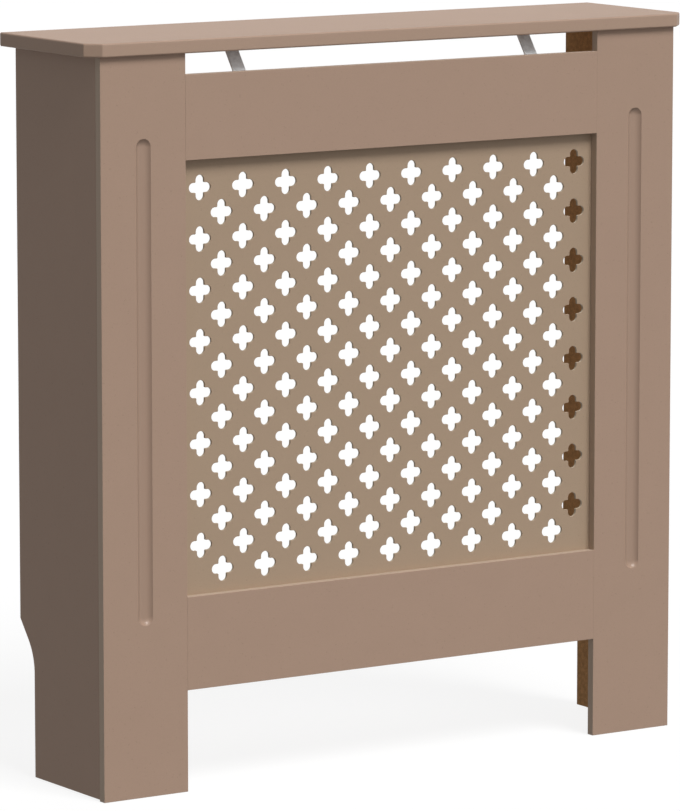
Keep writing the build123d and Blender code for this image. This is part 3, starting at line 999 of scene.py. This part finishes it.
def screw_mesh(size, length):
    """A pan head screw along Z: the head's seat at 0, the threaded shank above it."""
    head, height, shank = size["head"], size["head_height"], size["shank"]
    dome = [(head * math.sin(a), -height * math.cos(a)) for a in map(math.radians, dome_angles)]
    rim = [(head, -rim_height_share * height), (head * seat_share, 0)]
    neck = [(shank * neck_share, 0), (shank * neck_share, neck_height_share * height)]
    bm = bmesh.new()
    turned(bm, dome + rim + neck, segments=36)
    blank = to_object(to_mesh(bm, "screw_head"))
    cutter = bmesh.new()
    mouth, floor = -height * recess_mouth_share, -height * (1 - recess_depth_share)
    crossed_recess(cutter, head * recess_length_share, head * recess_width_share, mouth, floor)
    cut_away(blank, cutter)
    bm = bmesh.new()
    bm.from_mesh(blank.data)
    bpy.data.objects.remove(blank)
    thread(bm, shank * core_share, shank, -neck_height_share * height, length, size["pitch"])
    return to_mesh(bm, "screw")


def make_screws(node, size):
    places = rods(node)
    template = screw_mesh(size, places[0][2] - size["head_height"])
    matrices = [pose(start + direction * size["head_height"], direction) for start, direction, _ in places]
    piece = to_object(copies(f"{node}_steel", template, matrices), screw_steel)
    stand_for(piece, node)


dowel_flutes = 20
dowel_points_per_flute = 4
dowel_flute_depth = 0.3 * mm
dowel_chamfer = 1.0 * mm
dowel_end_share = 0.75


def dowel_mesh(radius, length):
    """A fluted dowel along Z with chamfered ends."""
    bm = bmesh.new()
    rings = []
    count = dowel_flutes * dowel_points_per_flute
    heights = (0, dowel_chamfer, length - dowel_chamfer, length)
    for height, share in zip(heights, (dowel_end_share, 1.0, 1.0, dowel_end_share)):
        ring = []
        for i in range(count):
            angle = 2 * math.pi * i / count
            hollow = dowel_flute_depth * (0.5 + 0.5 * math.cos(angle * dowel_flutes)) ** 2
            reach = (radius - hollow) * share
            ring.append(bm.verts.new((reach * math.cos(angle), reach * math.sin(angle), height)))
        rings.append(ring)
    skin(bm, rings)
    return to_mesh(bm, "dowel", smooth_angle=50.0)


def make_dowels(node):
    places = rods(node)
    low, high = corners(solids(node)[0])
    radius = min(high - low) / 2
    matrices = [pose(start, direction) for start, direction, _ in places]
    piece = to_object(copies(f"{node}_beech", dowel_mesh(radius, places[0][2]), matrices), beech[node])
    stand_for(piece, node)


bolt_thread = 3.0 * mm
bolt_thread_length = 11.0 * mm
bolt_pitch = 2.0 * mm
bolt_collar = 3.9 * mm
bolt_collar_height = 1.5 * mm
bolt_shank = 2.5 * mm
bolt_neck = 1.8 * mm
bolt_neck_length = 3.0 * mm
bolt_head = 3.0 * mm
bolt_head_length = 3.0 * mm
bolt_edge = 0.3 * mm


def cam_bolt_mesh(length):
    """A cam bolt along Z from its ball-edged head at 0: neck, shank, collar and coarse thread."""
    seat = length - bolt_thread_length
    collar = seat - bolt_collar_height
    neck_top = bolt_head_length + bolt_neck_length
    profile = [
        (bolt_head - 2 * bolt_edge, 0),
        (bolt_head, 2 * bolt_edge),
        (bolt_head, bolt_head_length - 2 * bolt_edge),
        (bolt_head - 2 * bolt_edge, bolt_head_length),
        (bolt_neck, bolt_head_length + bolt_edge),
        (bolt_neck, neck_top - bolt_edge),
        (bolt_shank, neck_top),
        (bolt_shank, collar - bolt_edge),
        (bolt_collar - bolt_edge, collar),
        (bolt_collar, collar + bolt_edge),
        (bolt_collar, seat - bolt_edge),
        (bolt_collar - bolt_edge, seat),
    ]
    bm = bmesh.new()
    turned(bm, profile)
    thread(bm, bolt_thread * core_share, bolt_thread, seat - bolt_edge, length, bolt_pitch, segments=18)
    return to_mesh(bm, "cam_bolt", smooth_angle=35.0)


def make_cam_bolts():
    boxes = [corners(points) for points in solids("shelf_cam_bolts")]
    low, high = boxes[0]
    template = cam_bolt_mesh(high.z - low.z)
    feet = [foot(*box) for box in boxes]
    piece = to_object(copies("shelf_cam_bolts_steel", template, feet), screw_steel)
    stand_for(piece, "shelf_cam_bolts")


cam_slot_width = 7.0 * mm
cam_slot_depth = 8.0 * mm
cam_slot_behind = 4.0 * mm
cam_recess_length = 9.0 * mm
cam_recess_width = 1.8 * mm
cam_recess_depth = 2.2 * mm
cam_edge = 0.5 * mm
cam_groove_start = 1.875 * mm
cam_groove_wall = 0.5 * mm
cam_groove_width = 0.75 * mm
cam_groove_depth = 0.5 * mm


def cam_mesh():
    """A cam along Z from its face at 0: a grooved drum, open along +X, with a crossed recess."""
    groove_floor = cam_groove_start + cam_groove_wall
    groove_end = groove_floor + cam_groove_width
    profile = [
        (cam_radius - cam_edge, 0),
        (cam_radius, cam_edge),
        (cam_radius, cam_groove_start),
        (cam_radius - cam_groove_depth, groove_floor),
        (cam_radius - cam_groove_depth, groove_end),
        (cam_radius, groove_end + cam_groove_wall),
        (cam_radius, cam_thickness - cam_edge),
        (cam_radius - cam_edge, cam_thickness),
    ]
    bm = bmesh.new()
    turned(bm, profile, segments=64)
    blank = to_object(to_mesh(bm, "cam"))
    half = cam_slot_width / 2
    slot_low = (-cam_slot_behind, -half, cam_slot_depth - half)
    slot_high = (cam_radius + overcut, half, cam_slot_depth + half)
    cutter = bmesh.new()
    box_prism(cutter, slot_low, slot_high)
    cut_away(blank, cutter)
    cutter = bmesh.new()
    crossed_recess(cutter, cam_recess_length, cam_recess_width, -overcut, cam_recess_depth)
    cut_away(blank, cutter)
    mesh = blank.data
    bpy.data.objects.remove(blank)
    return mesh


def make_cam_locks():
    template = cam_mesh()
    matrices = []
    for points in solids("shelf_cam_locks"):
        low, high = corners(points)
        side = 1 if low.x > 0 else -1
        face_x = low.x if side > 0 else high.x
        turn = Matrix(((0, 0, side), (0, -side, 0), (1, 0, 0))).to_4x4()
        matrices.append(Matrix.Translation((face_x, (low.y + high.y) / 2, (low.z + high.z) / 2)) @ turn)
    piece = to_object(copies("shelf_cam_locks_zinc", template, matrices), cam_zinc)
    stand_for(piece, "shelf_cam_locks")


block_corner_radius = 4.0 * mm
block_bore_radius = 4.0 * mm
block_wall = 5.0 * mm
block_screw_step = 20.0 * mm
block_arris = 0.6 * mm
bore_flare = 0.7 * mm


def block_bore(bm, place, direction, depth):
    """Adds a cutter for a flared bore that starts at a face of the block."""
    profile = [
        (block_bore_radius + 2 * bore_flare, -bore_flare),
        (block_bore_radius, bore_flare),
        (block_bore_radius, depth),
    ]
    turned(bm, profile, pose(place, direction), segments=36)


def make_corner_blocks(name, side):
    """Moulded blocks with two bores towards the side panel and one towards the stile."""
    node = f"{name}_corner_blocks"
    whole = bmesh.new()
    for points in solids(node):
        low, high = corners(points)
        middle = (low + high) / 2
        free_x, panel_x = (low.x, high.x) if side > 0 else (high.x, low.x)
        outline = [(panel_x, low.y), (free_x, low.y), (free_x, high.y), (panel_x, high.y)]
        bm = bmesh.new()
        prism(bm, rounded(outline, [0, 0, block_corner_radius, 0]), "Z", low.z, high.z)
        bevel(bm, sharp_edges(bm), block_arris)
        block = to_object(to_mesh(bm, "block"))
        bores = bmesh.new()
        depth = high.x - low.x - block_wall
        for shift in (-block_screw_step / 2, block_screw_step / 2):
            block_bore(bores, (free_x, middle.y, middle.z + shift), (side, 0, 0), depth)
        block_bore(bores, (middle.x, high.y, middle.z), (0, -1, 0), depth)
        cut_away(block, bores)
        whole.from_mesh(block.data)
        bpy.data.objects.remove(block)
    piece = to_object(to_mesh(whole, f"{node}_plastic"), block_plastic)
    stand_for(piece, node)


glide_height = 2.0 * mm
glide_edge = 0.5 * mm
pin_radius = 1.5 * mm
pin_tip_share = 0.2
pin_barbs = 6
pin_barb_depth = 0.25 * mm
barb_foot_share = 0.15
barb_crest_share = 0.3


def glide_profile(radius, length):
    """Half the section of a nail-in glide: a domed foot and a barbed pin."""
    profile = [
        (radius - 3 * glide_edge, 0),
        (radius - glide_edge, glide_edge / 2),
        (radius, glide_edge * 1.5),
        (radius, glide_height - glide_edge / 2),
        (radius - glide_edge / 2, glide_height),
        (pin_radius, glide_height),
    ]
    barb = (length - glide_height) / (pin_barbs + 1)
    for i in range(pin_barbs):
        start = glide_height + barb * i
        profile.append((pin_radius - pin_barb_depth, start + barb * barb_foot_share))
        profile.append((pin_radius, start + barb * barb_crest_share))
        profile.append((pin_radius - pin_barb_depth, start + barb))
    return [*profile, (pin_radius * pin_tip_share, length)]


def make_glides(name):
    node = f"{name}_floor_glides"
    bm = bmesh.new()
    for points in solids(node):
        low, high = corners(points)
        turned(bm, glide_profile((high.x - low.x) / 2, high.z - low.z), foot(low, high))
    piece = to_object(to_mesh(bm, f"{node}_plastic"), glide_plastic)
    stand_for(piece, node)


for screws in screw_nodes:
    make_screws(screws, screw)
make_screws("lattice_screws", small_screw)
for dowels in beech:
    make_dowels(dowels)
make_cam_bolts()
make_cam_locks()
for side_name, side in sides.items():
    make_corner_blocks(side_name, side)
    make_glides(side_name)
